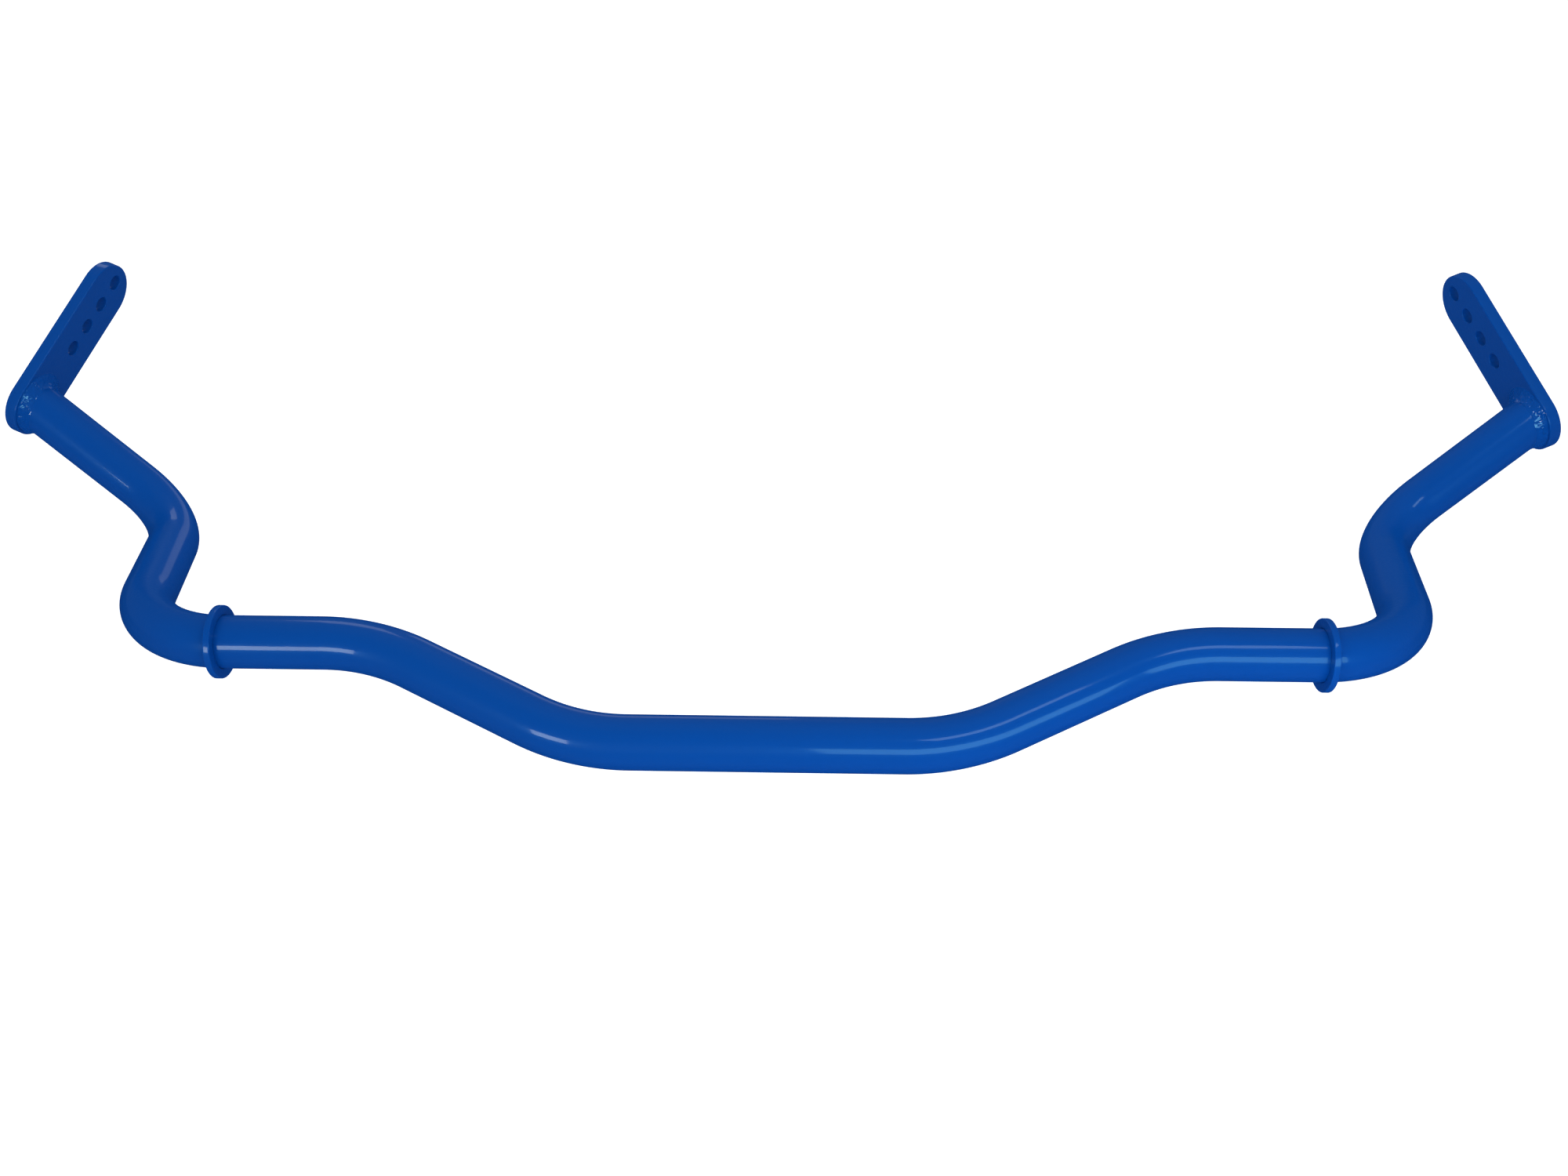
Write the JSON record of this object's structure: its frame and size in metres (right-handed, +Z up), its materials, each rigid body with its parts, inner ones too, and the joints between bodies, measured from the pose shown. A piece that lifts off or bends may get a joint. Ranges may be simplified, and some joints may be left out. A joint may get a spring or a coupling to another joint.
{
  "type": "sway bar",
  "caption": "Bent tubular anti-roll bar with a dropped centre, a locating ring by each bush seat and a welded end plate with a row of link holes at each end.",
  "frame": {"origin": "on the bench, under the middle of the box round the bar, which lies on its centre section and its two knees", "axes": "+X across the car to the bar's right-hand end, +Y from the dropped centre section back to the end plates, +Z up"},
  "size_m": [1.0406, 0.3596, 0.155],
  "materials": {
    "tube_coat": "gloss",
    "plate_coat": "gloss",
    "weld_coat": "gloss"
  },
  "bodies": {
    "left_half": {"bar_tube": "tube_coat", "left_end_plate": "plate_coat", "left_end_weld": "weld_coat", "left_locating_ring": "tube_coat", "left_ring_weld": "weld_coat"},
    "right_half": {"right_end_plate": "plate_coat", "right_end_weld": "weld_coat", "right_locating_ring": "tube_coat", "right_ring_weld": "weld_coat"}
  },
  "joints": [
    {"name": "bar_twist", "type": "hinge", "parent": "left_half", "child": "right_half", "pos_m": [0, -0.10183, 0.03463], "axis": [1, 0, 0], "range_deg": [-15, 15], "stiffness_Nm_per_rad": 7600, "deforming": ["bar_tube"]}
  ]
}
